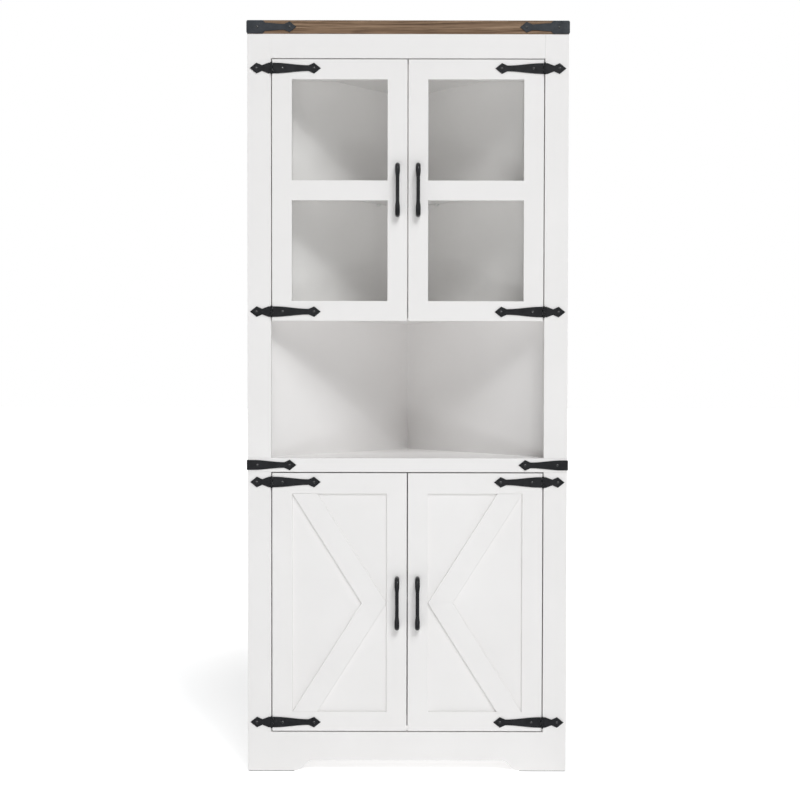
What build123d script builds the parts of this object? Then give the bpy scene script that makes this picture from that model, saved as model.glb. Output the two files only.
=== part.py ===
from build123d import *
import os
from math import sqrt

# Corner pantry cabinet: a base with two braced doors, an open niche on the deck, and a hutch with two
# glazed doors under a wooden top. Millimetres, +Z up, front towards -Y, with the origin on the floor
# under the middle of the whole cabinet.

# Carcass boards
WIDTH = 768
FOOT_PAD = 2
PLINTH_HEIGHT = 93.5
DECK_THICK = 34
NICHE_HEIGHT = 329.5
HEADER_HEIGHT = 57.3
TOP_THICK = 33
FRAME_THICK = 18
STILE_WIDTH = 56.4
WALL = 15
BOARD_ROUND = 1.5
EDGE_ROUND = 0.8

# Shelves and fixed floors
SHELF_THICK = 15
SHELF_SETBACK = 32
SHELF_PLAY = 1
SHELF_NOSE = 12
HUTCH_SHELF_RISE = 16
FLOOR_LIFT = 8
STOP_GAP = 1.5
PEG = 5
PEG_PLAY = 0.1
PEG_DEPTH = 9
PEG_OUT = 10
PEG_DROP = 4
PEG_FRONT = 84
PEG_REAR = 90

# Plinth feet and floor pads
FOOT_WIDTH = 114
OGEE_RUN = 46
CUTOUT_HEIGHT = 25
PAD_MARGIN = 2
REAR_PAD_LENGTH = 70
REAR_PAD_INSET = 75

# Doors
DOOR_HEIGHT = 624
DOOR_THICK = 18
DOOR_GAP = 2.4
UPPER_MEMBER = 47.5
LOWER_STILE = 48.7
LOWER_TOP_RAIL = 49.5
LOWER_BOTTOM_RAIL = 47
OVERLAY = 5
BRACE_CUT = 60
BRACE_PROUD = 0.8
BRACE_SEAM = 0.1
GLASS_THICK = 4
GLASS_SEAT = 8
GLASS_PLAY = 0.3

# Strap hinges and corner straps
LEAF_THICK = 2
LEAF_EDGE = 0.4
LEAF_HEIGHT = 25.2
NECK_HEIGHT = 13.5
DIAMOND_HEIGHT = 25.4
DIAMOND_FLARE = 13.3
DIAMOND_POINT = 15.8
DOOR_LEAF_LENGTH = 118
DOOR_LEAF_CAP = 6
DOOR_LEAF_SCREW = 26.4
FRAME_LEAF_LENGTH = 51.5
FRAME_LEAF_CAP = 7
HINGE_INSET = 21.7
KNUCKLE = 5.8
KNUCKLE_CLEAR = 0.3
KNUCKLE_PLAY = 0.4
PIN = 2.8
PIN_PLAY = 0.06
PIN_HEAD = 4.6
PIN_HEAD_HEIGHT = 1.4
STRAP_LENGTH = 119
STRAP_HEIGHT = 24
STRAP_CAP = 14
STRAP_CORNER = 0.8
STRAP_RETURN = 16
STRAP_SCREW = 25.5
TOP_STRAP_MARGIN = 0.8
TOP_STRAP_CAP = 39
TOP_STRAP_CORNER = 4
TOP_STRAP_SHOULDER = 6
TOP_STRAP_HEIGHT = 19

# Handles
HANDLE_LENGTH = 129
HANDLE_INSET = 23.4
HANDLE_REACH = 30
HANDLE_BAR = 9
HANDLE_END = 12
HANDLE_BEND = 14
HANDLE_FLARE = 18
HANDLE_FOOT_ROUND = 0.6

# Small fittings
CATCH_WIDTH = 48
CATCH_EAR = 11
CATCH_EAR_THICK = 3
CATCH_DEPTH = 14
CATCH_HEIGHT = 13
STRIKE_INSET = 7
STRIKE_WIDTH = 13
STRIKE_HEIGHT = 26
STRIKE_THICK = 1.2
STRIKE_SCREW_DROP = 6
CLIP_WIDTH = 16
CLIP_REACH = 5
CLIP_HOLD = 8
CLIP_THICK = 2
CLIP_SPREAD = 190

# Fasteners
SCREW = 3
SCREW_LENGTH = 16
SCREW_HEAD = 6.4
SCREW_HEAD_HEIGHT = 1.8
SMALL_SCREW_LENGTH = 10
WALL_SCREW_LENGTH = 42
BOLT = 4
BOLT_HEAD = 8
BOLT_GRIP = 8
SCREW_PLAY = 0.1
DOWEL = 6
DOWEL_LENGTH = 28
DOWEL_PLAY = 0.1
BASE_DOWEL_SPREAD = 32
HUTCH_DOWEL_SPREAD = 15
WALL_SCREW_FRONT = 110
WALL_SCREW_REAR = 100
WALL_DOWEL_FRONT = 70
WALL_DOWEL_REAR = 60
WALL_DOWEL_STEP = 14

# Holes for fixing the hutch to a room's walls
FIXING_HOLE = 5
FIXING_SETBACK = 62
FIXING_DROP = 40

# Levels
PLINTH_TOP = FOOT_PAD + PLINTH_HEIGHT
LOWER_DOOR_Z = PLINTH_TOP + DOOR_GAP
DECK_Z = LOWER_DOOR_Z + DOOR_HEIGHT + DOOR_GAP
DECK_TOP = DECK_Z + DECK_THICK
UPPER_DOOR_Z = DECK_TOP + NICHE_HEIGHT
HEADER_Z = UPPER_DOOR_Z + DOOR_HEIGHT + DOOR_GAP
TOP_Z = HEADER_Z + HEADER_HEIGHT
BASE_FLOOR_Z = LOWER_DOOR_Z + FLOOR_LIFT
HUTCH_FLOOR_Z = UPPER_DOOR_Z + FLOOR_LIFT
HUTCH_CEILING_Z = UPPER_DOOR_Z + DOOR_HEIGHT - FLOOR_LIFT

# Plan: depths are measured back from the front face, and the rear walls stand at 45 degrees
HALF = WIDTH / 2
OPENING = HALF - STILE_WIDTH
CORNER = FRAME_THICK + HALF
INNER = CORNER - WALL * sqrt(2)
WALL_MIDDLE = (CORNER + INNER) / 2
FRONT_Y = (HANDLE_REACH - CORNER) / 2
FLOOR_FRONT = max(FRAME_THICK, DOOR_THICK + STOP_GAP)
DOOR_INNER = DOOR_GAP / 2
DOOR_OUTER = OPENING - DOOR_GAP
DOOR_BACK_Y = FRONT_Y + DOOR_THICK
FRAME_MIDDLE_Y = FRONT_Y + FRAME_THICK / 2

# Right-hand hinges
HINGE_X = OPENING - DOOR_GAP / 2
AXIS_Y = FRONT_Y - KNUCKLE / 2 - KNUCKLE_CLEAR
KNUCKLE_PITCH = LEAF_HEIGHT / 4
FRAME_KNUCKLES = (1.5, -0.5)
DOOR_KNUCKLES = (0.5, -1.5)
DOOR_LEVELS = {"upper": UPPER_DOOR_Z, "lower": LOWER_DOOR_Z}
HINGE_ROWS = {
    level: (z + HINGE_INSET, z + DOOR_HEIGHT - HINGE_INSET) for level, z in DOOR_LEVELS.items()
}

front = Plane.XZ.offset(-FRONT_Y)
os.makedirs("parts", exist_ok=True)


def save(piece, name):
    piece.part.label = name
    export_step(piece.part, f"parts/{name}.step")


def save_pair(piece, level, name):
    """Write a right-hand piece and its mirror image on the left."""
    save(piece, f"{level}_right_{name}")
    with BuildPart() as twin:
        mirror(piece.part, about=Plane.YZ)
    save(twin, f"{level}_left_{name}")


def plan(*points):
    """Plan points from pairs of x and depth behind the front face."""
    return [(x, FRONT_Y + depth) for x, depth in points]


def front_seats(points, proud):
    """Screw seats that look forward, proud of the front face, at pairs of x and z."""
    return [Plane((x, FRONT_Y - proud, z), z_dir=(0, -1, 0)) for x, z in points]


def rear_seats(points, proud):
    """Screw seats that look back, proud of the doors' rear faces, at pairs of x and z."""
    return [Plane((x, DOOR_BACK_Y + proud, z), z_dir=(0, 1, 0)) for x, z in points]


def wall_plane(side, x, z, inset):
    """Plane that looks out of a rear wall at a plan point of its outer face, with local y upright."""
    out = Vector(side, 1, 0).normalized()
    foot = Vector(side * x, FRONT_Y + CORNER - x, z)
    return Plane(foot - out * inset, x_dir=(-1, side, 0), z_dir=out)


def drill(seats, diameter, depth):
    with Locations(*seats):
        Hole(diameter / 2 + SCREW_PLAY, depth)


def drill_dowels(points, rotation=(0, 0, 0)):
    with Locations(*points):
        Cylinder(
            DOWEL / 2 + DOWEL_PLAY,
            DOWEL_LENGTH + 2 * DOWEL_PLAY,
            rotation=rotation,
            mode=Mode.SUBTRACT,
        )


def pan_screw(shank, head, length):
    """Pan-head screw with its seat at the origin, head up and a pointed shank below."""
    dome = (head**2 / 4 + SCREW_HEAD_HEIGHT**2) / (2 * SCREW_HEAD_HEIGHT)
    with BuildPart() as screw:
        with BuildSketch(Plane.XZ):
            with BuildLine():
                Polyline((0, SCREW_HEAD_HEIGHT), (0, -length), (shank / 2, shank - length), (shank / 2, 0))
                Line((shank / 2, 0), (head / 2, 0))
                RadiusArc((head / 2, 0), (0, SCREW_HEAD_HEIGHT), -dome)
            make_face()
        revolve(axis=Axis.Z)
    return screw.part


def leaf_shape(root, cap, length, straight=False):
    """Strap outline from its root at the origin to its point on +x: cap, waist, neck and diamond."""
    diamond = length - DIAMOND_POINT
    neck = (diamond - DIAMOND_FLARE, NECK_HEIGHT / 2)
    with BuildSketch() as shape:
        with BuildLine():
            Polyline((0, 0), (0, root / 2), (cap, root / 2))
            if straight:
                Line((cap, root / 2), neck)
            else:
                Spline((cap, root / 2), neck, tangents=((1, 0), (1, 0)))
            Polyline(neck, (diamond, DIAMOND_HEIGHT / 2), (length, 0), (0, 0))
        make_face()
        mirror(about=Plane.XZ)
    return shape.sketch


# Dowels: plan points and the levels that they cross
stile_middle = HALF - STILE_WIDTH / 2


def dowel_points(z, spread, step, on_wall=True):
    """Dowel centres at one level: two in each stile and, where it has them, two in each rear wall."""
    points = []
    for side in (-1, 1):
        for shift in (-spread / 2, spread / 2):
            points.append((side * (stile_middle + shift), FRAME_MIDDLE_Y, z))
        if on_wall:
            for x in (HALF - WALL_DOWEL_FRONT - step, WALL_DOWEL_REAR + step):
                points.append((side * x, FRONT_Y + WALL_MIDDLE - x, z))
    return points


plinth_dowels = dowel_points(PLINTH_TOP, BASE_DOWEL_SPREAD, 0, on_wall=False)
deck_dowels = dowel_points(DECK_Z, BASE_DOWEL_SPREAD, 0)
hutch_dowels = dowel_points(DECK_TOP, HUTCH_DOWEL_SPREAD, WALL_DOWEL_STEP)
top_dowels = dowel_points(TOP_Z, HUTCH_DOWEL_SPREAD, WALL_DOWEL_STEP)
header_dowels = [
    (side * OPENING, FRAME_MIDDLE_Y, HEADER_Z + HEADER_HEIGHT / 2 + shift)
    for side in (-1, 1)
    for shift in (-HUTCH_DOWEL_SPREAD / 2, HUTCH_DOWEL_SPREAD / 2)
]
ALONG_X = (0, 90, 0)

with BuildPart() as dowels:
    with Locations(*plinth_dowels, *deck_dowels, *hutch_dowels, *top_dowels):
        Cylinder(DOWEL / 2, DOWEL_LENGTH)
    with Locations(*header_dowels):
        Cylinder(DOWEL / 2, DOWEL_LENGTH, rotation=ALONG_X)
save(dowels, "dowels")

# Screw seats on the right-hand side
diamond_screw = DOOR_LEAF_LENGTH - DIAMOND_POINT
frame_leaf_seats = {
    level: front_seats([(HINGE_X + FRAME_LEAF_LENGTH - DIAMOND_POINT, z) for z in rows], LEAF_THICK)
    for level, rows in HINGE_ROWS.items()
}
door_leaf_seats = {
    level: front_seats(
        [(HINGE_X - u, z) for z in rows for u in (DOOR_LEAF_SCREW, diamond_screw)], LEAF_THICK
    )
    for level, rows in HINGE_ROWS.items()
}
strap_end = HALF + LEAF_THICK
strap_screws = [strap_end - u for u in (STRAP_SCREW, STRAP_LENGTH - DIAMOND_POINT)]
deck_strap_seats = front_seats([(x, DECK_Z + DECK_THICK / 2) for x in strap_screws], LEAF_THICK)
top_strap_seats = front_seats([(x, TOP_Z + TOP_THICK / 2) for x in strap_screws], LEAF_THICK)


def both_sides(seats):
    """Front seats with their mirror images on the left."""
    return seats + [Plane((-s.origin.X, s.origin.Y, s.origin.Z), z_dir=s.z_dir) for s in seats]


# Plinth: one board under the base stiles, cut out between two feet with an S-shaped shoulder
foot_edge = HALF - FOOT_WIDTH
with BuildPart() as plinth_rail:
    with BuildSketch(front):
        with BuildLine():
            Polyline((0, FOOT_PAD + CUTOUT_HEIGHT), (0, PLINTH_TOP), (HALF, PLINTH_TOP), (HALF, FOOT_PAD))
            Line((HALF, FOOT_PAD), (foot_edge, FOOT_PAD))
            heel = TangentArc(
                (foot_edge, FOOT_PAD),
                (foot_edge - OGEE_RUN / 2, FOOT_PAD + CUTOUT_HEIGHT / 2),
                tangent=(-1, 0),
            )
            TangentArc(heel @ 1, (foot_edge - OGEE_RUN, FOOT_PAD + CUTOUT_HEIGHT), tangent=heel % 1)
            Line((foot_edge - OGEE_RUN, FOOT_PAD + CUTOUT_HEIGHT), (0, FOOT_PAD + CUTOUT_HEIGHT))
        make_face()
        mirror(about=Plane.YZ)
    extrude(amount=-FRAME_THICK)
    fillet(plinth_rail.edges().filter_by(Axis.Z).group_by(Axis.Y)[0], EDGE_ROUND)
    drill_dowels(plinth_dowels)
save(plinth_rail, "plinth_rail")

with BuildPart() as foot_pads:
    with BuildSketch():
        foot_middle = HALF - FOOT_WIDTH / 2
        with Locations((-foot_middle, FRAME_MIDDLE_Y), (foot_middle, FRAME_MIDDLE_Y)):
            Rectangle(FOOT_WIDTH - 2 * PAD_MARGIN, FRAME_THICK - 2 * PAD_MARGIN)
        for side in (-1, 1):
            with Locations((side * REAR_PAD_INSET, FRONT_Y + WALL_MIDDLE - REAR_PAD_INSET)):
                Rectangle(REAR_PAD_LENGTH, WALL - 2 * PAD_MARGIN, rotation=-45 * side)
    extrude(amount=FOOT_PAD)
save(foot_pads, "foot_pads")

# Front stiles of base and hutch, with the header rail between the hutch stiles
LEVELS = {"base": (PLINTH_TOP, DECK_Z, "lower"), "hutch": (DECK_TOP, TOP_Z, "upper")}
for level, (bottom, top, doors) in LEVELS.items():
    with BuildPart() as stile:
        with BuildSketch(front):
            with Locations((stile_middle, (bottom + top) / 2)):
                Rectangle(STILE_WIDTH, top - bottom)
        extrude(amount=-FRAME_THICK)
        fillet(stile.edges().filter_by(Axis.Z).group_by(Axis.Y)[0], EDGE_ROUND)
        drill(frame_leaf_seats[doors], SCREW, SCREW_LENGTH)
        if level == "base":
            drill_dowels(plinth_dowels + deck_dowels)
        else:
            drill_dowels(hutch_dowels + top_dowels)
            drill_dowels(header_dowels, ALONG_X)
    save_pair(stile, level, "stile")

with BuildPart() as header_rail:
    with BuildSketch(front):
        with Locations((0, HEADER_Z + HEADER_HEIGHT / 2)):
            Rectangle(2 * OPENING, HEADER_HEIGHT)
    extrude(amount=-FRAME_THICK)
    fillet(header_rail.edges().filter_by(Axis.X).group_by(Axis.Z)[0].sort_by(Axis.Y)[0], EDGE_ROUND)
    drill_dowels(header_dowels, ALONG_X)
save(header_rail, "header_rail")

# Rear walls: the left one laps the right one at the rear corner
lap = (CORNER - INNER) / 2
LEFT_WALL = plan((-HALF, FRAME_THICK), (FRAME_THICK - INNER, FRAME_THICK), (lap, WALL_MIDDLE), (0, CORNER))
RIGHT_WALL = plan((HALF, FRAME_THICK), (INNER - FRAME_THICK, FRAME_THICK), (0, INNER), (lap, WALL_MIDDLE))
WALLS = {"left": (-1, LEFT_WALL), "right": (1, RIGHT_WALL)}
base_shelf_z = LOWER_DOOR_Z + (DOOR_HEIGHT - SHELF_THICK) / 2
hutch_shelf_z = UPPER_DOOR_Z + (DOOR_HEIGHT - SHELF_THICK) / 2 + HUTCH_SHELF_RISE
SHELF_Z = {"base": base_shelf_z, "hutch": hutch_shelf_z}
FLOOR_Z = {"base": BASE_FLOOR_Z, "hutch": HUTCH_FLOOR_Z}
FIXED_Z = {"base": [BASE_FLOOR_Z], "hutch": [HUTCH_FLOOR_Z, HUTCH_CEILING_Z]}


def peg_planes(side, shelf_z):
    """Planes on a wall's inner face at its shelf pegs, looking out of the cabinet."""
    return [wall_plane(side, x, shelf_z - PEG_DROP, WALL) for x in (HALF - PEG_FRONT, PEG_REAR)]


def wall_screw_seats(side, board_z):
    """Seats on a wall's outer face of the screws that hold a fixed board."""
    z = board_z + SHELF_THICK / 2
    return [wall_plane(side, x, z, 0) for x in (HALF - WALL_SCREW_FRONT, WALL_SCREW_REAR)]


for level, (bottom, top, doors) in LEVELS.items():
    foot = FOOT_PAD if level == "base" else bottom
    for name, (side, outline) in WALLS.items():
        with BuildPart() as wall:
            with BuildSketch(Plane.XY.offset(foot)):
                Polygon(*outline, align=None)
            extrude(amount=top - foot)
            for hole in peg_planes(side, SHELF_Z[level]):
                with BuildSketch(hole):
                    Circle(PEG / 2 + PEG_PLAY)
                extrude(amount=PEG_DEPTH, mode=Mode.SUBTRACT)
            for z in FIXED_Z[level]:
                drill(wall_screw_seats(side, z), SCREW, WALL_SCREW_LENGTH)
            if level == "base":
                drill_dowels(deck_dowels)
            else:
                drill_dowels(hutch_dowels + top_dowels)
                with Locations(wall_plane(side, HALF - FIXING_SETBACK, HUTCH_CEILING_Z - FIXING_DROP, 0)):
                    Hole(FIXING_HOLE / 2, WALL)
        save(wall, f"{level}_{name}_wall")

# Deck and top board: five-sided boards over the whole plan
OUTLINE = plan((-HALF, 0), (HALF, 0), (HALF, FRAME_THICK), (0, CORNER), (-HALF, FRAME_THICK))
BOARDS = {
    "deck_board": (DECK_Z, DECK_THICK, deck_dowels + hutch_dowels, deck_strap_seats),
    "top_board": (TOP_Z, TOP_THICK, top_dowels, top_strap_seats),
}
for name, (z, thick, holes, seats) in BOARDS.items():
    with BuildPart() as board:
        with BuildSketch(Plane.XY.offset(z)):
            Polygon(*OUTLINE, align=None)
        extrude(amount=thick)
        fillet(board.edges().filter_by(Axis.X).group_by(Axis.Y)[0], BOARD_ROUND)
        drill_dowels(holes)
        drill(both_sides(seats), SCREW, SCREW_LENGTH)
    save(board, name)

# Fixed floors and ceiling, screwed through the walls, which also stop the doors; each floor holds a double
# magnetic catch
ear_x = CATCH_WIDTH / 2 + CATCH_EAR / 2
catch_seats = {
    level: [Plane((x, FRONT_Y + FLOOR_FRONT + CATCH_DEPTH / 2, z + SHELF_THICK + CATCH_EAR_THICK))
            for x in (-ear_x, ear_x)]
    for level, z in FLOOR_Z.items()
}


def shelf_outline(depth, play):
    """Five-sided plan of a board between the walls, from a front edge with its points cut off."""
    back = INNER - play * sqrt(2)
    tip = back - depth - SHELF_NOSE
    cut = depth + SHELF_NOSE
    return plan((-tip, depth), (tip, depth), (tip, cut), (0, back), (-tip, cut))


FIXED_BOARDS = {
    "base_floor": (BASE_FLOOR_Z, catch_seats["base"]),
    "hutch_floor": (HUTCH_FLOOR_Z, catch_seats["hutch"]),
    "hutch_ceiling": (HUTCH_CEILING_Z, []),
}
for name, (z, seats) in FIXED_BOARDS.items():
    with BuildPart() as fixed_board:
        with BuildSketch(Plane.XY.offset(z)):
            Polygon(*shelf_outline(FLOOR_FRONT, 0), align=None)
        extrude(amount=SHELF_THICK)
        for side in (-1, 1):
            drill(wall_screw_seats(side, z), SCREW, WALL_SCREW_LENGTH)
        if seats:
            drill(seats, SCREW, SCREW_LENGTH)
    save(fixed_board, name)

with BuildPart() as door_catches:
    for z in FLOOR_Z.values():
        with BuildSketch(Plane.XY.offset(z + SHELF_THICK)):
            with Locations((0, FRONT_Y + FLOOR_FRONT + CATCH_DEPTH / 2)):
                Rectangle(CATCH_WIDTH + 2 * CATCH_EAR, CATCH_DEPTH)
        extrude(amount=CATCH_EAR_THICK)
        with BuildSketch(Plane.XY.offset(z + SHELF_THICK)):
            with Locations((0, FRONT_Y + FLOOR_FRONT + CATCH_DEPTH / 2)):
                Rectangle(CATCH_WIDTH, CATCH_DEPTH)
        extrude(amount=CATCH_HEIGHT)
    for seats in catch_seats.values():
        drill(seats, SCREW, CATCH_EAR_THICK)
save(door_catches, "door_catches")

# Loose shelves on flat-topped supports
for level, z in SHELF_Z.items():
    with BuildPart() as shelf:
        with BuildSketch(Plane.XY.offset(z)):
            Polygon(*shelf_outline(SHELF_SETBACK, SHELF_PLAY), align=None)
        extrude(amount=SHELF_THICK)
        fillet(shelf.edges().filter_by(Axis.X).group_by(Axis.Y)[0], EDGE_ROUND)
    save(shelf, f"{level}_shelf")

with BuildPart() as shelf_supports:
    for z in SHELF_Z.values():
        for side in (-1, 1):
            for seat in peg_planes(side, z):
                with BuildSketch(seat):
                    Circle(PEG / 2)
                extrude(amount=PEG_DEPTH - PEG_PLAY)
                with BuildSketch(seat):
                    Circle(PEG / 2)
                    with Locations((0, PEG_DROP / 2)):
                        Rectangle(2 * PEG, PEG_DROP)
                extrude(amount=-PEG_OUT)
save(shelf_supports, "shelf_supports")

# Screws of the carcass
wood_screw = pan_screw(SCREW, SCREW_HEAD, SCREW_LENGTH)
small_screw = pan_screw(SCREW, SCREW_HEAD, SMALL_SCREW_LENGTH)
wall_screw = pan_screw(SCREW, SCREW_HEAD, WALL_SCREW_LENGTH)

with BuildPart() as wall_screws:
    for side in (-1, 1):
        for z, seats in FIXED_BOARDS.values():
            with Locations(*wall_screw_seats(side, z)):
                add(wall_screw)
save(wall_screws, "wall_screws")

with BuildPart() as carcass_screws:
    iron_seats = deck_strap_seats + top_strap_seats + frame_leaf_seats["upper"] + frame_leaf_seats["lower"]
    with Locations(*both_sides(iron_seats), *catch_seats["base"], *catch_seats["hutch"]):
        add(wood_screw)
save(carcass_screws, "carcass_screws")

# Corner straps: a pointed leg on the front edge and a short leg bent round the side
top_plate_height = TOP_THICK - 2 * TOP_STRAP_MARGIN
top_plate_end = TOP_STRAP_CAP + TOP_STRAP_SHOULDER
with BuildSketch() as top_strap:
    add(leaf_shape(TOP_STRAP_HEIGHT, top_plate_end, STRAP_LENGTH))
    with BuildLine():
        Polyline((0, 0), (0, top_plate_height / 2), (TOP_STRAP_CAP, top_plate_height / 2))
        Line((TOP_STRAP_CAP, top_plate_height / 2), (top_plate_end, TOP_STRAP_HEIGHT / 2))
        Polyline((top_plate_end, TOP_STRAP_HEIGHT / 2), (top_plate_end, 0), (0, 0))
    make_face()
    mirror(about=Plane.XZ)
deck_strap = leaf_shape(STRAP_HEIGHT, STRAP_CAP, STRAP_LENGTH)
STRAPS = {
    "deck": (deck_strap, STRAP_HEIGHT, STRAP_CORNER, DECK_Z + DECK_THICK / 2, deck_strap_seats),
    "top": (top_strap.sketch, top_plate_height, TOP_STRAP_CORNER, TOP_Z + TOP_THICK / 2, top_strap_seats),
}
for level, (shape, height, corner, z, seats) in STRAPS.items():
    with BuildPart() as strap:
        with BuildSketch(front) as leg:
            with Locations((strap_end, z)):
                add(shape, rotation=180)
            fillet(leg.vertices().group_by(Axis.X)[-1], corner)
        extrude(amount=LEAF_THICK)
        with BuildSketch(front):
            with Locations((HALF + LEAF_THICK / 2, z)):
                Rectangle(LEAF_THICK, height - 2 * corner)
        extrude(amount=-STRAP_RETURN)
        chamfer(strap.faces().sort_by(Axis.Y)[0].edges(), LEAF_EDGE)
        drill(seats, SCREW, LEAF_THICK)
    save_pair(strap, level, "strap")

# Strap hinges: two leaves on each side of a door's pins, with interleaved knuckles
frame_leaf = leaf_shape(LEAF_HEIGHT, FRAME_LEAF_CAP, FRAME_LEAF_LENGTH, straight=True)
door_leaf = leaf_shape(LEAF_HEIGHT, DOOR_LEAF_CAP, DOOR_LEAF_LENGTH)


def hinge_leaves(shape, turn, rows, own, other, seats):
    """The leaves of one door's hinges on one side, notched for the knuckles of the other side."""
    own_spots = [(HINGE_X, AXIS_Y, z + k * KNUCKLE_PITCH) for z in rows for k in own]
    other_spots = [(HINGE_X, AXIS_Y, z + k * KNUCKLE_PITCH) for z in rows for k in other]
    notch = KNUCKLE + 2 * KNUCKLE_CLEAR
    with BuildPart() as leaves:
        with BuildSketch(front):
            with Locations(*[(HINGE_X, z) for z in rows]):
                add(shape, rotation=turn)
        extrude(amount=LEAF_THICK)
        chamfer(leaves.faces().group_by(Axis.Y)[0].edges(), LEAF_EDGE)
        with Locations(*other_spots):
            Box(notch, notch, KNUCKLE_PITCH + KNUCKLE_PLAY, mode=Mode.SUBTRACT)
        with Locations(*own_spots):
            Cylinder(KNUCKLE / 2, KNUCKLE_PITCH - KNUCKLE_PLAY)
        with Locations(*own_spots):
            Cylinder(PIN / 2 + PIN_PLAY, KNUCKLE_PITCH, mode=Mode.SUBTRACT)
        drill(seats, SCREW, LEAF_THICK)
    return leaves


for level, rows in HINGE_ROWS.items():
    frame_side = hinge_leaves(frame_leaf, 0, rows, FRAME_KNUCKLES, DOOR_KNUCKLES, frame_leaf_seats[level])
    save_pair(frame_side, level, "frame_leaves")
    door_side = hinge_leaves(door_leaf, 180, rows, DOOR_KNUCKLES, FRAME_KNUCKLES, door_leaf_seats[level])
    save_pair(door_side, level, "door_leaves")

# Hinge pins: headed at both ends
with BuildPart() as hinge_pins:
    for x in (-HINGE_X, HINGE_X):
        for z in HINGE_ROWS["upper"] + HINGE_ROWS["lower"]:
            with Locations((x, AXIS_Y, z)):
                Cylinder(PIN / 2, LEAF_HEIGHT + PIN_HEAD_HEIGHT)
            with Locations(*[(x, AXIS_Y, z + s * (LEAF_HEIGHT + PIN_HEAD_HEIGHT) / 2) for s in (-1, 1)]):
                Cylinder(PIN_HEAD / 2, PIN_HEAD_HEIGHT)
save(hinge_pins, "hinge_pins")

# Door furniture that all four doors share
HANDLE_X = DOOR_INNER + HANDLE_INSET
recess_bottom = LOWER_DOOR_Z + LOWER_BOTTOM_RAIL
recess_top = LOWER_DOOR_Z + DOOR_HEIGHT - LOWER_TOP_RAIL
HANDLE_Z = {"upper": UPPER_DOOR_Z + DOOR_HEIGHT / 2, "lower": (recess_bottom + recess_top) / 2}
foot_span = HANDLE_LENGTH - HANDLE_END
strike_x = DOOR_INNER + STRIKE_INSET + STRIKE_WIDTH / 2
STRIKE_TOP = {
    "upper": HUTCH_FLOOR_Z + SHELF_THICK + STRIKE_HEIGHT,
    "lower": BASE_FLOOR_Z + SHELF_THICK + STRIKE_HEIGHT,
}
handle_seats = {
    level: rear_seats([(HANDLE_X, HANDLE_Z[level] + s * foot_span / 2) for s in (-1, 1)], 0)
    for level in DOOR_LEVELS
}
strike_seats = {
    level: rear_seats([(strike_x, STRIKE_TOP[level] - STRIKE_SCREW_DROP)], STRIKE_THICK)
    for level in DOOR_LEVELS
}


def bow_handle(x, z):
    """Wrought bow pull: a bar that flares into a quarter bend and a round foot at each end."""
    axis_y = FRONT_Y - HANDLE_REACH + HANDLE_END / 2
    straight = foot_span / 2 - HANDLE_BEND
    with BuildPart() as handle:
        with BuildSketch(Plane((x, axis_y, z), x_dir=(1, 0, 0), z_dir=(0, -1, 0))):
            with BuildLine():
                Polyline((HANDLE_BAR / 2, 0), (0, 0), (0, straight), (HANDLE_END / 2, straight))
                Spline(
                    (HANDLE_END / 2, straight),
                    (HANDLE_BAR / 2, straight - HANDLE_FLARE),
                    tangents=((0, -1), (0, -1)),
                )
                Line((HANDLE_BAR / 2, straight - HANDLE_FLARE), (HANDLE_BAR / 2, 0))
            make_face()
        revolve(axis=Axis((x, axis_y, z), (0, 0, 1)))
        with BuildSketch(Plane((x, axis_y, z + straight))):
            Circle(HANDLE_END / 2)
        revolve(axis=Axis((x, axis_y + HANDLE_BEND, z + straight), (-1, 0, 0)), revolution_arc=90)
        with BuildSketch(front):
            with Locations((x, z + foot_span / 2)):
                Circle(HANDLE_END / 2)
        extrude(amount=FRONT_Y - axis_y - HANDLE_BEND)
        mirror(about=Plane((x, axis_y, z)))
        fillet(handle.faces().sort_by(Axis.Y)[-2:].edges(), HANDLE_FOOT_ROUND)
    return handle


for level in DOOR_LEVELS:
    handle = bow_handle(HANDLE_X, HANDLE_Z[level])
    with BuildPart() as drilled_handle:
        add(handle.part)
        drill(handle_seats[level], BOLT, DOOR_THICK + BOLT_GRIP + SCREW_PLAY)
    save_pair(drilled_handle, level, "handle")

    with BuildPart() as strike_plate:
        with BuildSketch(front.offset(-DOOR_THICK)):
            with Locations((strike_x, STRIKE_TOP[level] - STRIKE_HEIGHT / 2)):
                Rectangle(STRIKE_WIDTH, STRIKE_HEIGHT)
        extrude(amount=-STRIKE_THICK)
        drill(strike_seats[level], SCREW, STRIKE_THICK)
    save_pair(strike_plate, level, "strike_plate")

handle_bolt = pan_screw(BOLT, BOLT_HEAD, DOOR_THICK + BOLT_GRIP)
door_middle_x = (DOOR_INNER + DOOR_OUTER) / 2
door_width = DOOR_OUTER - DOOR_INNER

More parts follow.
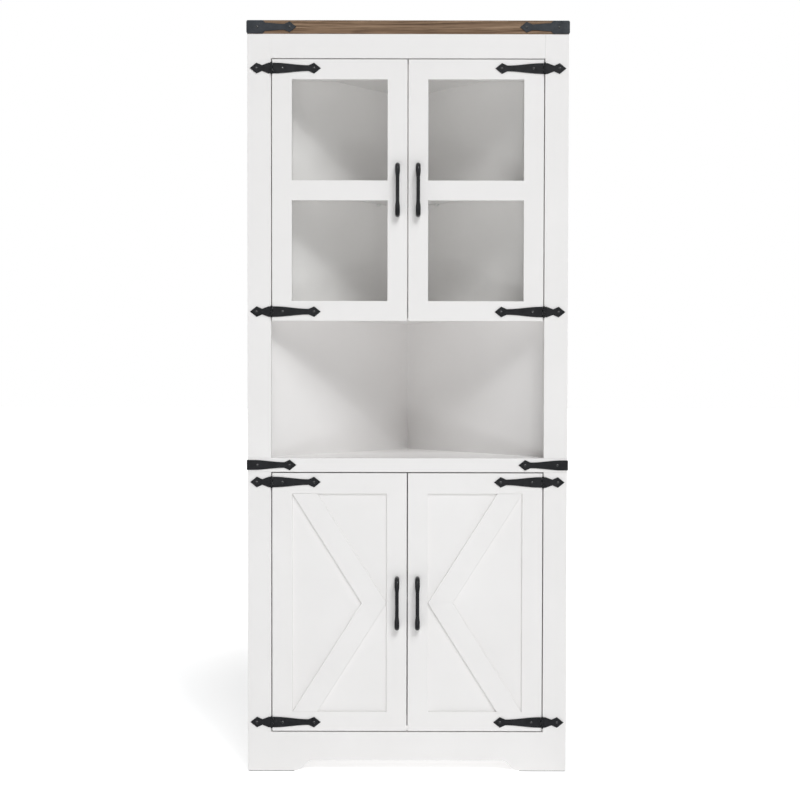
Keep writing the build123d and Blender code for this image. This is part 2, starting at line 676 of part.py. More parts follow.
# Upper doors: a one-piece frame with two lites over one sheet of glass, held by clips from behind
lite_width = door_width - 2 * UPPER_MEMBER
lite_height = (DOOR_HEIGHT - 3 * UPPER_MEMBER) / 2
upper_middle = UPPER_DOOR_Z + DOOR_HEIGHT / 2
pocket_width = lite_width + 2 * GLASS_SEAT
pocket_height = DOOR_HEIGHT - 2 * UPPER_MEMBER + 2 * GLASS_SEAT
lite_shift = (lite_height + UPPER_MEMBER) / 2
clip_centre = (CLIP_HOLD - CLIP_REACH) / 2
side_clips = [
    (door_middle_x + s * (pocket_width / 2 + clip_centre), upper_middle + t * CLIP_SPREAD)
    for s in (-1, 1)
    for t in (-1, 1)
]
end_clips = [(door_middle_x, upper_middle + s * (pocket_height / 2 + clip_centre)) for s in (-1, 1)]
clip_screw = pocket_width / 2 + CLIP_HOLD / 2
clip_seats = rear_seats(
    [(door_middle_x + s * clip_screw, upper_middle + t * CLIP_SPREAD) for s in (-1, 1) for t in (-1, 1)]
    + [(door_middle_x, upper_middle + s * (pocket_height / 2 + CLIP_HOLD / 2)) for s in (-1, 1)],
    CLIP_THICK,
)

with BuildPart() as upper_frame:
    with BuildSketch(front):
        with Locations((door_middle_x, upper_middle)):
            Rectangle(door_width, DOOR_HEIGHT)
        with Locations(*[(door_middle_x, upper_middle + s * lite_shift) for s in (-1, 1)]):
            Rectangle(lite_width, lite_height, mode=Mode.SUBTRACT)
    extrude(amount=-DOOR_THICK)
    fillet(upper_frame.faces().sort_by(Axis.Y)[0].edges(), EDGE_ROUND)
    with BuildSketch(front.offset(-DOOR_THICK)):
        with Locations((door_middle_x, upper_middle)):
            Rectangle(pocket_width, pocket_height)
    extrude(amount=GLASS_THICK + GLASS_PLAY, mode=Mode.SUBTRACT)
    drill(door_leaf_seats["upper"], SCREW, SCREW_LENGTH)
    drill(handle_seats["upper"], BOLT, DOOR_THICK)
    drill(strike_seats["upper"], SCREW, SMALL_SCREW_LENGTH)
    drill(clip_seats, SCREW, SMALL_SCREW_LENGTH)
save_pair(upper_frame, "upper", "door_frame")

with BuildPart() as glass:
    with BuildSketch(front.offset(-DOOR_THICK + GLASS_THICK + GLASS_PLAY)):
        with Locations((door_middle_x, upper_middle)):
            Rectangle(pocket_width - 2 * GLASS_PLAY, pocket_height - 2 * GLASS_PLAY)
    extrude(amount=-GLASS_THICK)
save_pair(glass, "upper", "glass")

with BuildPart() as glass_clips:
    with BuildSketch(front.offset(-DOOR_THICK)):
        with Locations(*side_clips):
            Rectangle(CLIP_HOLD + CLIP_REACH, CLIP_WIDTH)
        with Locations(*end_clips):
            Rectangle(CLIP_WIDTH, CLIP_HOLD + CLIP_REACH)
    extrude(amount=-CLIP_THICK)
    drill(clip_seats, SCREW, CLIP_THICK)
save_pair(glass_clips, "upper", "glass_clips")

with BuildPart() as upper_screws:
    with Locations(*door_leaf_seats["upper"]):
        add(wood_screw)
    with Locations(*strike_seats["upper"], *clip_seats):
        add(small_screw)
    with Locations(*handle_seats["upper"]):
        add(handle_bolt)
save_pair(upper_screws, "upper", "door_screws")

# Lower doors: a flat panel with a frame and two slanting braces laid on its face
recess_inner = DOOR_INNER + LOWER_STILE
recess_outer = DOOR_OUTER - LOWER_STILE
lower_middle = LOWER_DOOR_Z + DOOR_HEIGHT / 2
brace_middle = (recess_bottom + recess_top) / 2

with BuildPart() as lower_panel:
    with BuildSketch(front.offset(-DOOR_THICK)):
        with Locations((door_middle_x, lower_middle)):
            Rectangle(door_width, DOOR_HEIGHT)
    extrude(amount=DOOR_THICK - OVERLAY)
    drill(door_leaf_seats["lower"], SCREW, SCREW_LENGTH)
    drill(handle_seats["lower"], BOLT, DOOR_THICK)
    drill(strike_seats["lower"], SCREW, SMALL_SCREW_LENGTH)
save_pair(lower_panel, "lower", "door_panel")

with BuildPart() as lower_frame:
    with BuildSketch(front):
        with Locations((door_middle_x, lower_middle)):
            Rectangle(door_width, DOOR_HEIGHT)
        with Locations(((recess_inner + recess_outer) / 2, brace_middle)):
            Rectangle(recess_outer - recess_inner, recess_top - recess_bottom, mode=Mode.SUBTRACT)
    extrude(amount=-OVERLAY)
    fillet(lower_frame.faces().sort_by(Axis.Y)[0].edges(), EDGE_ROUND)
    drill(door_leaf_seats["lower"], SCREW, SCREW_LENGTH)
    drill(handle_seats["lower"], BOLT, DOOR_THICK)
save_pair(lower_frame, "lower", "door_frame")

with BuildPart() as braces:
    for end in (recess_bottom + BRACE_SEAM, recess_top - BRACE_SEAM):
        heart = brace_middle + (BRACE_SEAM if end > brace_middle else -BRACE_SEAM) / 2
        with BuildSketch(front.offset(-OVERLAY)):
            Polygon(
                (recess_outer - BRACE_SEAM, end),
                (recess_outer - BRACE_CUT, end),
                (recess_inner + BRACE_SEAM, heart),
                (recess_inner + BRACE_CUT, heart),
                align=None,
            )
        extrude(amount=OVERLAY + BRACE_PROUD)
    brace_sides = braces.faces().group_by(Axis.Y)[0].edges().filter_by(Axis.X, reverse=True)
    fillet(brace_sides, EDGE_ROUND)
save_pair(braces, "lower", "braces")

with BuildPart() as lower_screws:
    with Locations(*door_leaf_seats["lower"]):
        add(wood_screw)
    with Locations(*strike_seats["lower"]):
        add(small_screw)
    with Locations(*handle_seats["lower"]):
        add(handle_bolt)
save_pair(lower_screws, "lower", "door_screws")
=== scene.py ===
import math

import bmesh
import bpy
from mathutils import Matrix, Vector


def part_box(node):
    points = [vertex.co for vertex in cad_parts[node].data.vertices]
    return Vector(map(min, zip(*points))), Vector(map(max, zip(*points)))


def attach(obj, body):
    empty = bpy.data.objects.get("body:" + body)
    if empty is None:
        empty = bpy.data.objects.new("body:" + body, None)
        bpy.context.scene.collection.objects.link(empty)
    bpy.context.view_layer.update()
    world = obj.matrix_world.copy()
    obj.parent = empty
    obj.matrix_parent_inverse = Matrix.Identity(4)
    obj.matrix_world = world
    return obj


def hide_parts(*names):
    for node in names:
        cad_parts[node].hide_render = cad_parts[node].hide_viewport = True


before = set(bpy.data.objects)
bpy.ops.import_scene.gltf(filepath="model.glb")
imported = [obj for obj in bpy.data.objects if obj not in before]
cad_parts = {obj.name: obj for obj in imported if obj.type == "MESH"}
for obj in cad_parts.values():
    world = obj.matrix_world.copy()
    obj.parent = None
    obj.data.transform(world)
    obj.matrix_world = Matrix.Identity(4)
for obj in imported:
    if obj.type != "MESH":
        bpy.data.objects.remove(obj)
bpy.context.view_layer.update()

scene = bpy.context.scene
scene.view_settings.view_transform = "Standard"


# Carcass of the base and the hutch: fibreboard rails, stiles, walls, floors and loose shelves.
# All of it is sprayed with a satin white lacquer, which leaves a very fine orange-peel skin,
# and the boards are doweled and screwed together.
SIDES = ("left", "right")
CARCASS_LEVELS = ("base", "hutch")
LACQUER_WHITE = (0.866, 0.850, 0.838, 1.0)
LACQUER_SHADE = (0.842, 0.825, 0.812, 1.0)
CARCASS_ROUGHNESS = 0.42
SHEEN_SPREAD = 0.06
FIELD_LOW = 0.3
FIELD_HIGH = 0.7


def new_material(name):
    """A bare node material with its shader and an Object coordinate socket."""
    material = bpy.data.materials.new(name)
    material.use_nodes = True
    nodes = material.node_tree.nodes
    shader = nodes["Principled BSDF"]
    place = nodes.new("ShaderNodeTexCoord").outputs["Object"]
    return material, nodes, material.node_tree.links, shader, place


def noise(nodes, links, place, scale, detail=3.0, roughness=0.5, distortion=0.0, stretch=None):
    """A noise field on the given coordinates, stretched by a Mapping where one is asked for."""
    if stretch:
        mapping = nodes.new("ShaderNodeMapping")
        mapping.inputs["Scale"].default_value = stretch
        links.new(place, mapping.inputs["Vector"])
        place = mapping.outputs["Vector"]
    field = nodes.new("ShaderNodeTexNoise")
    field.inputs["Scale"].default_value = scale
    field.inputs["Detail"].default_value = detail
    field.inputs["Roughness"].default_value = roughness
    field.inputs["Distortion"].default_value = distortion
    links.new(place, field.inputs["Vector"])
    return field.outputs["Fac"]


def ramp(nodes, links, value, stops):
    """A colour ramp through (position, colour) stops."""
    strip = nodes.new("ShaderNodeValToRGB")
    strip.color_ramp.elements[0].position, strip.color_ramp.elements[0].color = stops[0]
    strip.color_ramp.elements[1].position, strip.color_ramp.elements[1].color = stops[-1]
    for position, colour in stops[1:-1]:
        strip.color_ramp.elements.new(position).color = colour
    links.new(value, strip.inputs["Fac"])
    return strip.outputs["Color"]


def blend(nodes, links, value, dark, pale):
    """Two colours, dark to pale over the middle range of a field."""
    return ramp(nodes, links, value, [(FIELD_LOW, dark), (FIELD_HIGH, pale)])


def spread(nodes, links, value, low, high):
    """A field rescaled from its middle range to low and high."""
    scaled = nodes.new("ShaderNodeMapRange")
    scaled.inputs["From Min"].default_value = FIELD_LOW
    scaled.inputs["From Max"].default_value = FIELD_HIGH
    scaled.inputs["To Min"].default_value = low
    scaled.inputs["To Max"].default_value = high
    links.new(value, scaled.inputs["Value"])
    return scaled.outputs["Result"]


def bump(nodes, links, shader, height, strength, distance):
    """A fine relief on a shader from a height field."""
    relief = nodes.new("ShaderNodeBump")
    relief.inputs["Strength"].default_value = strength
    relief.inputs["Distance"].default_value = distance
    links.new(height, relief.inputs["Height"])
    links.new(relief.outputs["Normal"], shader.inputs["Normal"])


def satin_lacquer(name, roughness):
    """White spray lacquer: faint cloudy tone, uneven sheen and an orange-peel skin."""
    material, nodes, links, shader, place = new_material(name)
    clouds = noise(nodes, links, place, scale=5.0, detail=4.0)
    links.new(blend(nodes, links, clouds, LACQUER_SHADE, LACQUER_WHITE), shader.inputs["Base Color"])
    patches = noise(nodes, links, place, scale=38.0, detail=5.0)
    sheen = spread(nodes, links, patches, roughness - SHEEN_SPREAD, roughness + SHEEN_SPREAD)
    links.new(sheen, shader.inputs["Roughness"])
    peel = noise(nodes, links, place, scale=950.0, detail=2.0)
    bump(nodes, links, shader, peel, strength=0.05, distance=0.0005)
    return material


def finish_nodes(names, material):
    """Give CAD nodes one material in place of their own."""
    for name in names:
        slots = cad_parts[name].data.materials
        slots.clear()
        slots.append(material)


carcass = ["plinth_rail", "header_rail", "deck_board", "hutch_ceiling"]
for level in CARCASS_LEVELS:
    carcass += [f"{level}_{side}_{board}" for side in SIDES for board in ("wall", "stile")]
    carcass += [f"{level}_{board}" for board in ("floor", "shelf")]
finish_nodes(carcass, satin_lacquer("carcass_lacquer", CARCASS_ROUGHNESS))


# Top board: a thick slab with a rustic brown woodgrain along the front, doweled to the hutch.
# Long pale and dark streaks run side to side, with fine open pores and a dull oiled finish.
WOOD_DARK = (0.070, 0.0385, 0.0215, 1.0)
WOOD_BROWN = (0.159, 0.096, 0.055, 1.0)
WOOD_TAN = (0.254, 0.165, 0.102, 1.0)
WOOD_PALE = (0.388, 0.270, 0.175, 1.0)
WOOD_STOPS = [(0.30, WOOD_DARK), (0.43, WOOD_BROWN), (0.56, WOOD_TAN), (0.72, WOOD_PALE)]
PORE_SHADE = (0.42, 0.40, 0.38, 1.0)
PURE_WHITE = (1.0, 1.0, 1.0, 1.0)
PORE_STOPS = [(0.36, PORE_SHADE), (0.50, PURE_WHITE)]
PORE_STRENGTH = 0.75
GRAIN_STRETCH = (2.6, 50.0, 110.0)
PORE_STRETCH = (14.0, 420.0, 420.0)


def rustic_wood(name):
    """Streaked brown wood with dark pores, duller where it is darker."""
    material, nodes, links, shader, place = new_material(name)
    streaks = noise(nodes, links, place, scale=1.0, detail=7.0, roughness=0.62, distortion=1.1,
                    stretch=GRAIN_STRETCH)
    pores = noise(nodes, links, place, scale=1.0, detail=3.0, roughness=0.6, stretch=PORE_STRETCH)
    shaded = nodes.new("ShaderNodeMix")
    shaded.data_type = "RGBA"
    shaded.blend_type = "MULTIPLY"
    shaded.inputs["Factor"].default_value = PORE_STRENGTH
    links.new(ramp(nodes, links, streaks, WOOD_STOPS), shaded.inputs["A"])
    links.new(ramp(nodes, links, pores, PORE_STOPS), shaded.inputs["B"])
    links.new(shaded.outputs["Result"], shader.inputs["Base Color"])
    links.new(spread(nodes, links, streaks, 0.62, 0.48), shader.inputs["Roughness"])
    shader.inputs["Specular IOR Level"].default_value = 0.25
    bump(nodes, links, shader, pores, strength=0.25, distance=0.0008)
    return material


finish_nodes(["top_board"], rustic_wood("top_woodgrain"))


# Hidden joinery: beech dowels in the board edges, felt pads under the feet,
# and white plastic shelf supports, catches and glass clips.
BEECH_DARK = (0.42, 0.27, 0.15, 1.0)
BEECH_PALE = (0.62, 0.45, 0.29, 1.0)
FIBRE_STRETCH = (260.0, 260.0, 18.0)
FELT_DARK = (0.025, 0.024, 0.023, 1.0)
FELT_PALE = (0.07, 0.067, 0.064, 1.0)
FITTING_DARK = (0.70, 0.70, 0.68, 1.0)
FITTING_PALE = (0.76, 0.76, 0.75, 1.0)
CLIP_DARK = (0.60, 0.61, 0.60, 1.0)
CLIP_PALE = (0.68, 0.69, 0.68, 1.0)


def bare_beech(name):
    """Unfinished beech with fine fibres along the dowel."""
    material, nodes, links, shader, place = new_material(name)
    fibres = noise(nodes, links, place, scale=1.0, detail=4.0, stretch=FIBRE_STRETCH)
    links.new(blend(nodes, links, fibres, BEECH_DARK, BEECH_PALE), shader.inputs["Base Color"])
    shader.inputs["Roughness"].default_value = 0.7
    bump(nodes, links, shader, fibres, strength=0.2, distance=0.0003)
    return material


def dark_felt(name):
    """Pressed dark felt with a fluffy skin."""
    material, nodes, links, shader, place = new_material(name)
    fluff = noise(nodes, links, place, scale=900.0, detail=4.0, roughness=0.7)
    links.new(blend(nodes, links, fluff, FELT_DARK, FELT_PALE), shader.inputs["Base Color"])
    shader.inputs["Roughness"].default_value = 0.95
    shader.inputs["Sheen Weight"].default_value = 0.3
    bump(nodes, links, shader, fluff, strength=0.6, distance=0.0008)
    return material


def moulded_plastic(name, dark, pale):
    """Moulded plastic with faint flow marks and a spark-eroded skin."""
    material, nodes, links, shader, place = new_material(name)
    flow = noise(nodes, links, place, scale=60.0, detail=3.0)
    links.new(blend(nodes, links, flow, dark, pale), shader.inputs["Base Color"])
    spark = noise(nodes, links, place, scale=2600.0, detail=2.0)
    links.new(spread(nodes, links, spark, 0.42, 0.56), shader.inputs["Roughness"])
    bump(nodes, links, shader, spark, strength=0.12, distance=0.0002)
    return material


finish_nodes(["dowels"], bare_beech("dowel_beech"))
finish_nodes(["foot_pads"], dark_felt("pad_felt"))
fittings = ["shelf_supports", "door_catches"]
finish_nodes(fittings, moulded_plastic("fitting_plastic", FITTING_DARK, FITTING_PALE))
glass_clips = [f"upper_{side}_glass_clips" for side in SIDES]
finish_nodes(glass_clips, moulded_plastic("clip_plastic", CLIP_DARK, CLIP_PALE))


# Doors: glazed frames above, flat panels with an applied frame and slanting braces below.
# They are sprayed in the same white as the carcass, a little smoother, as flat-sprayed parts are.
DOOR_ROUGHNESS = 0.36
door_parts = [f"upper_{side}_door_frame" for side in SIDES]
for part in ("door_panel", "door_frame", "braces"):
    door_parts += [f"lower_{side}_{part}" for side in SIDES]
finish_nodes(door_parts, satin_lacquer("door_lacquer", DOOR_ROUGHNESS))


# Glass of the upper doors: one clear float sheet behind both lites of a door, held by clips.
# Very pale green in its body, with faint wiping smears that vary its gloss, and it lets the
# lamps' light through to the shelves.
GLASS_SHADE = (0.975, 0.980, 0.974, 1.0)
GLASS_CLEAR = (0.992, 0.994, 0.990, 1.0)
GLASS_PASSING = (0.985, 0.985, 0.98, 1.0)
GLASS_IOR = 1.5


def maths(nodes, links, operation, *values):
    """A Math node on sockets and plain numbers."""
    step = nodes.new("ShaderNodeMath")
    step.operation = operation
    for socket, value in zip(step.inputs, values):
        if isinstance(value, float):
            socket.default_value = value
        else:
            links.new(value, socket)
    return step.outputs["Value"]


def show_either(nodes, links, choice, first, second, surface):
    """Put the first shader on a surface, or the second where the choice is 1."""
    chosen = nodes.new("ShaderNodeMixShader")
    links.new(choice, chosen.inputs["Fac"])
    links.new(first, chosen.inputs[1])
    links.new(second, chosen.inputs[2])
    links.new(chosen.outputs["Shader"], surface)


def float_glass(name):
    """Clear sheet glass that casts next to no shadow."""
    material, nodes, links, shader, place = new_material(name)
    smears = noise(nodes, links, place, scale=7.0, detail=6.0, roughness=0.65, distortion=0.8)
    links.new(blend(nodes, links, smears, GLASS_SHADE, GLASS_CLEAR), shader.inputs["Base Color"])
    links.new(spread(nodes, links, smears, 0.0, 0.012), shader.inputs["Roughness"])
    shader.inputs["Transmission Weight"].default_value = 1.0
    shader.inputs["IOR"].default_value = GLASS_IOR
    passing = nodes.new("ShaderNodeBsdfTransparent")
    passing.inputs["Color"].default_value = GLASS_PASSING
    ray = nodes.new("ShaderNodeLightPath").outputs
    lighting = maths(nodes, links, "MAXIMUM", ray["Is Shadow Ray"], ray["Is Diffuse Ray"])
    surface = nodes["Material Output"].inputs["Surface"]
    show_either(nodes, links, lighting, shader.outputs["BSDF"], passing.outputs["BSDF"], surface)
    return material


finish_nodes([f"upper_{side}_glass" for side in SIDES], float_glass("clear_float_glass"))


# Ironwork: strap hinges with their pins, corner straps and bow handles.
# Forged-look steel under a black powder coat, slightly hammered, with a soft gloss.
# The straps of the top board get a lighter, bluish grey copy of it, a painted sheen for the light they
# catch.
DOOR_LEVELS = ("upper", "lower")
IRON_BLACK = (0.011, 0.0113, 0.0124, 1.0)
IRON_GREY = (0.022, 0.0225, 0.0246, 1.0)
# Lighter, bluish grey copy of the iron for the top straps: painted sheen, not a different finish.
SHEEN_LIT_DARK = (0.030, 0.033, 0.038, 1.0)
SHEEN_LIT_PALE = (0.052, 0.057, 0.064, 1.0)


def black_iron(name, roughness, hammer, gloss, dark=IRON_BLACK, pale=IRON_GREY):
    """Coated iron with soft patches, a gritty sheen and shallow hammer dents."""
    material, nodes, links, shader, place = new_material(name)
    patches = noise(nodes, links, place, scale=55.0, detail=5.0, roughness=0.6)
    links.new(blend(nodes, links, patches, dark, pale), shader.inputs["Base Color"])
    grit = noise(nodes, links, place, scale=700.0, detail=3.0)
    links.new(spread(nodes, links, grit, 0.85 * roughness, 1.2 * roughness), shader.inputs["Roughness"])
    dents = noise(nodes, links, place, scale=150.0, detail=1.0)
    bump(nodes, links, shader, dents, strength=hammer, distance=0.0012)
    shader.inputs["Specular IOR Level"].default_value = gloss
    return material


def on_each_door(piece):
    """The names of the CAD nodes of one piece that every door has."""
    return [f"{level}_{side}_{piece}" for level in DOOR_LEVELS for side in SIDES]


# Top straps: the same iron painted lighter and bluer, as painted sheen.
painted_sheen_iron = black_iron("painted_sheen_iron", roughness=0.50, hammer=0.35, gloss=0.15,
                        dark=SHEEN_LIT_DARK, pale=SHEEN_LIT_PALE)
finish_nodes([f"top_{side}_strap" for side in SIDES], painted_sheen_iron)
hammered_iron = black_iron("hammered_iron", roughness=0.46, hammer=0.35, gloss=0.14)
finish_nodes([f"deck_{side}_strap" for side in SIDES], hammered_iron)
finish_nodes(on_each_door("frame_leaves") + on_each_door("door_leaves") + ["hinge_pins"], hammered_iron)
finish_nodes(on_each_door("handle"), black_iron("handle_iron", roughness=0.10, hammer=0.03, gloss=0.20))


# Strike plates: punched strips of zinc-plated steel, screwed to the backs of the doors
# where the magnets of the catches meet them.
ZINC_DARK = (0.50, 0.51, 0.52, 1.0)
ZINC_PALE = (0.64, 0.65, 0.66, 1.0)


def zinc_plate(name):
    """Zinc plating with the cloudy bloom that it takes on."""
    material, nodes, links, shader, place = new_material(name)
    bloom = noise(nodes, links, place, scale=120.0, detail=5.0, roughness=0.7)
    links.new(blend(nodes, links, bloom, ZINC_DARK, ZINC_PALE), shader.inputs["Base Color"])
    shader.inputs["Metallic"].default_value = 1.0
    links.new(spread(nodes, links, bloom, 0.32, 0.46), shader.inputs["Roughness"])
    bump(nodes, links, shader, bloom, strength=0.08, distance=0.0003)
    return material


zinc = zinc_plate("zinc_plated_steel")
finish_nodes(on_each_door("strike_plate"), zinc)


# Screws: turned pan heads with a pressed cross recess over a rolled thread and a point.
# Black ones hold the ironwork, glass clips and handles, zinc ones the floors through the rear walls.
HEAD_HEIGHT = 0.0018
HEAD_RIM = 0.0004
HEAD_SIDES = 24
HEAD_RINGS = 6
CLEAR_OF_HEAD = 1.5 * HEAD_HEIGHT
THREAD_PITCH = 0.0014
THREAD_DEPTH = 0.0003
CROSS_WIDTH = 0.22
CROSS_REACH = 0.62
CROSS_DEPTH = 0.62
CROSS_TAPER = 0.45
MERGE_DISTANCE = 1e-6
SHARP_ANGLE = math.radians(35.0)


def separate_solids(shape):
    """The points of each solid in a bmesh that holds several."""
    reached = set()
    for start in shape.verts:
        if start in reached:
            continue
        reached.add(start)
        solid = [start]
        for vert in solid:
            for edge in vert.link_edges:
                other = edge.other_vert(vert)
                if other not in reached:
                    reached.add(other)
                    solid.append(other)
        yield [vert.co.copy() for vert in solid]


def screw_seats(node):
    """Each screw of a CAD node as its seat, outward axis, head radius, shank radius and length."""
    shape = bmesh.new()
    shape.from_mesh(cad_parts[node].data)
    bmesh.ops.remove_doubles(shape, verts=shape.verts, dist=MERGE_DISTANCE)
    seats = []
    for points in separate_solids(shape):
        middle = sum(points, Vector()) / len(points)
        tip = max(points, key=lambda point: (point - middle).length)
        apex = max(points, key=lambda point: (point - tip).length)
        axis = (apex - tip).normalized()
        head = max((point - tip).cross(axis).length for point in points)
        shank_points = [point for point in points if (apex - point).dot(axis) > CLEAR_OF_HEAD]
        shank = max((point - tip).cross(axis).length for point in shank_points)
        seats.append((apex - axis * HEAD_HEIGHT, axis, head, shank, (apex - tip).length - HEAD_HEIGHT))
    shape.free()
    return seats


def linked_object(name, shape):
    """An object in the scene from a bmesh, which is freed."""
    made = bpy.data.objects.new(name, bpy.data.meshes.new(name))
    shape.to_mesh(made.data)
    shape.free()
    scene.collection.objects.link(made)
    return made


def spun_blank(head, shank, length):
    """A screw without its recess, head up and seated at the origin, spun from its half outline."""
    rise = HEAD_HEIGHT - HEAD_RIM
    dome = (head ** 2 + rise ** 2) / (2 * rise)
    outline = [(0.0, HEAD_HEIGHT)]
    for ring in range(1, HEAD_RINGS + 1):
        radius = head * ring / HEAD_RINGS
        outline.append((radius, HEAD_HEIGHT - dome + math.sqrt(dome ** 2 - radius ** 2)))
    outline += [(head, 0.0), (shank, 0.0)]
    for turn in range(int((length - 3 * shank) / THREAD_PITCH)):
        z = -shank - turn * THREAD_PITCH
        outline += [(shank - THREAD_DEPTH, z), (shank, z - THREAD_PITCH / 2)]
    outline += [(shank - THREAD_DEPTH, -length + 2 * shank), (0.0, -length)]
    blank = bmesh.new()
    verts = [blank.verts.new((radius, 0.0, z)) for radius, z in outline]
    edges = [blank.edges.new(pair) for pair in zip(verts, verts[1:])]
    bmesh.ops.spin(blank, geom=verts + edges, cent=(0, 0, 0), axis=(0, 0, 1), angle=2 * math.pi,
                   steps=HEAD_SIDES, use_merge=True)
    bmesh.ops.remove_doubles(blank, verts=blank.verts, dist=MERGE_DISTANCE)
    bmesh.ops.recalc_face_normals(blank, faces=blank.faces)
    return linked_object("screw_blank", blank)


def cross_punch(head):
    """Two crossed bars, shorter at their lower ends, where the recess of a head goes."""
    cross = bmesh.new()
    bar = (2 * CROSS_REACH * head, CROSS_WIDTH * head, 2 * CROSS_DEPTH * HEAD_HEIGHT)
    for turn in (0.0, math.pi / 2):
        arm = bmesh.ops.create_cube(cross, size=1.0)["verts"]
        bmesh.ops.scale(cross, verts=arm, vec=bar)
        for vert in arm:
            if vert.co.z < 0:
                vert.co.x *= CROSS_TAPER
        bmesh.ops.rotate(cross, verts=arm, cent=(0, 0, 0), matrix=Matrix.Rotation(turn, 3, "Z"))
        bmesh.ops.translate(cross, verts=arm, vec=(0, 0, HEAD_HEIGHT))
    return linked_object("cross_punch", cross)


def turned_screw(head, shank, length):
    """The mesh of one finished screw: a spun blank with the cross cut into its head."""
    blank = spun_blank(head, shank, length)
    punch = cross_punch(head)
    cut = blank.modifiers.new("cross", "BOOLEAN")
    cut.operation = "DIFFERENCE"
    cut.object = punch
    cut.solver = "EXACT"
    cut.use_self = True
    finished = bpy.data.meshes.new_from_object(blank.evaluated_get(bpy.context.evaluated_depsgraph_get()))
    for used in (blank, punch):
        bpy.data.objects.remove(used)
    return finished


screws_by_size = {}


def screw_set(node, body, material):
    """The screws of a CAD node, remade in full detail where that node has them."""
    joined = bmesh.new()
    for seat, axis, head, shank, length in screw_seats(node):
        size = (round(head, 4), round(shank, 4), round(length, 4))
        if size not in screws_by_size:
            screws_by_size[size] = turned_screw(*size)
        first = len(joined.verts)
        joined.from_mesh(screws_by_size[size])
        joined.verts.ensure_lookup_table()
        new_verts = joined.verts[first:]
        turn = axis.to_track_quat("Z", "Y").to_matrix()
        bmesh.ops.rotate(joined, verts=new_verts, cent=(0, 0, 0), matrix=turn)
        bmesh.ops.translate(joined, verts=new_verts, vec=seat)
    piece = linked_object(f"{node}_turned", joined)
    piece.data.set_sharp_from_angle(angle=SHARP_ANGLE)
    piece.data.materials.append(material)
    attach(piece, body)
    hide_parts(node)


screw_black = black_iron("screw_black", roughness=0.18, hammer=0.02, gloss=0.8)
screw_set("carcass_screws", "cabinet", screw_black)
screw_set("wall_screws", "cabinet", zinc)
for door in on_each_door("door"):
    screw_set(f"{door}_screws", door, screw_black)


# Studio: a pale floor that fades into white, one large soft key far off to the upper right front
# with a small lamp for highlights, weaker lamps low in front and behind, and a dim, warm surround.
FLOOR_HALF = 30.0
FLOOR_PALE = (0.84, 0.84, 0.84, 1.0)
SHADOW_REACH = 0.7
SHADOW_LEVEL = 0.6
FADE_REACH = 2.2
FLOOR_GLOW = 0.5
floor_shape = bmesh.new()
bmesh.ops.create_grid(floor_shape, x_segments=1, y_segments=1, size=FLOOR_HALF)
floor = linked_object("studio_floor", floor_shape)

floor_material, nodes, links, shader, place = new_material("floor_white")
shader.inputs["Base Color"].default_value = FLOOR_PALE
shader.inputs["Roughness"].default_value = 0.9
shader.inputs["Specular IOR Level"].default_value = 0.1
shader.inputs["Emission Color"].default_value = PURE_WHITE
reach = nodes.new("ShaderNodeVectorMath")
reach.operation = "LENGTH"
links.new(place, reach.inputs[0])
fade = nodes.new("ShaderNodeMapRange")
fade.interpolation_type = "SMOOTHSTEP"
fade.inputs["From Min"].default_value = SHADOW_REACH
fade.inputs["From Max"].default_value = FADE_REACH
fade.inputs["To Min"].default_value = SHADOW_LEVEL
fade.inputs["To Max"].default_value = 1.0
links.new(reach.outputs["Value"], fade.inputs["Value"])
ray = nodes.new("ShaderNodeLightPath").outputs
viewed = maths(nodes, links, "MAXIMUM", ray["Is Camera Ray"], ray["Is Transmission Ray"])
seen = maths(nodes, links, "MULTIPLY", viewed, fade.outputs["Result"])
glow = maths(nodes, links, "MULTIPLY_ADD", ray["Is Diffuse Ray"], FLOOR_GLOW, seen)
links.new(glow, shader.inputs["Emission Strength"])
floor.data.materials.append(floor_material)

FILL_TINT = (1.0, 0.975, 0.94, 1.0)
FILL_LEVEL = 0.06
world = bpy.data.worlds.new("studio_surround")
world.use_nodes = True
scene.world = world
nodes, links = world.node_tree.nodes, world.node_tree.links
fill = nodes["Background"]
fill.inputs["Color"].default_value = FILL_TINT
fill.inputs["Strength"].default_value = FILL_LEVEL
backdrop = nodes.new("ShaderNodeBackground")
backdrop.inputs["Color"].default_value = PURE_WHITE
ray = nodes.new("ShaderNodeLightPath").outputs
shown = ray["Is Camera Ray"]
for kind in ("Is Glossy Ray", "Is Transmission Ray"):
    shown = maths(nodes, links, "MAXIMUM", shown, ray[kind])
surface = nodes["World Output"].inputs["Surface"]
show_either(nodes, links, shown, fill.outputs["Background"], backdrop.outputs["Background"], surface)

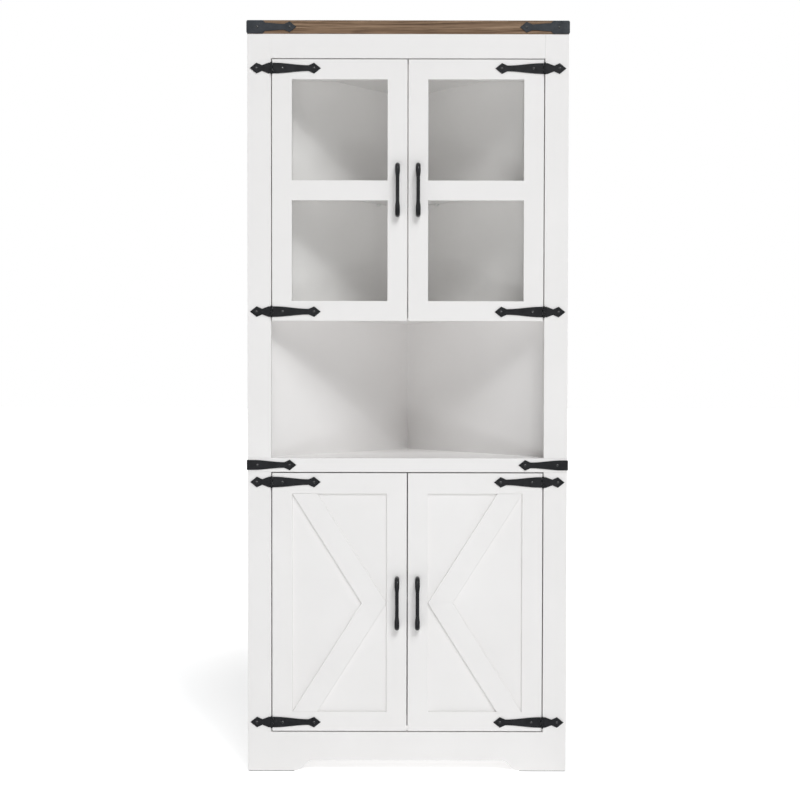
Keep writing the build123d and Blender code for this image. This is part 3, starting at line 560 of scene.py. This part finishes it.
DAYLIGHT = (0.965, 0.983, 1.0)
CABINET_MIDDLE = (0.0, 0.0, 0.9)
ABOVE_CABINET = (0.0, 0.0, 2.6)


def disk_light(name, place, target, size, power, mirrored=True):
    """A round lamp at a place, facing a target, which glass and gloss may mirror."""
    lamp = bpy.data.lights.new(name, "AREA")
    lamp.shape = "DISK"
    lamp.size = size
    lamp.energy = power
    lamp.color = DAYLIGHT
    light = bpy.data.objects.new(name, lamp)
    light.location = place
    light.rotation_euler = (Vector(place) - Vector(target)).to_track_quat("Z", "Y").to_euler()
    light.visible_glossy = mirrored
    scene.collection.objects.link(light)


disk_light("soft_key", (4.9, -15.2, 16.6), CABINET_MIDDLE, size=11.5, power=2600.0)
disk_light("sparkle", (3.2, -9.6, 9.4), CABINET_MIDDLE, size=0.4, power=110.0)
disk_light("floor_bounce", (-0.2, -2.45, 0.06), ABOVE_CABINET, size=1.2, power=10.0, mirrored=False)
disk_light("rear_fill", (-3.0, 7.5, 4.5), CABINET_MIDDLE, size=4.0, power=200.0, mirrored=False)
disk_light("floor_glint", (0.3, -2.6, 0.1), CABINET_MIDDLE, size=0.12, power=2.0)


# Camera: level with the middle of the niche, about three metres in front of the doors,
# tilted down a little, with the cabinet slightly right of the middle of the picture.
PICTURE_PIXELS = 800
FOCAL_PIXELS = 1237.0
CENTRE_LINE_PIXEL = 407.55
SENSOR_WIDTH = 36.0
TILT_DOWN = 1.262
CAMERA_ROLL = -0.1
CAMERA_DISTANCE = 2.9706
CAMERA_HEIGHT = 0.9635
front_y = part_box("plinth_rail")[0][1]
camera_data = bpy.data.cameras.new("camera")
camera_data.sensor_width = SENSOR_WIDTH
camera_data.lens = FOCAL_PIXELS / PICTURE_PIXELS * SENSOR_WIDTH
camera_data.shift_x = (PICTURE_PIXELS / 2 - CENTRE_LINE_PIXEL) / PICTURE_PIXELS
camera = bpy.data.objects.new("camera", camera_data)
camera.location = (0.0, front_y - CAMERA_DISTANCE, CAMERA_HEIGHT)
camera.rotation_euler = (math.radians(90.0 - TILT_DOWN), math.radians(CAMERA_ROLL), 0.0)
scene.collection.objects.link(camera)
scene.camera = camera
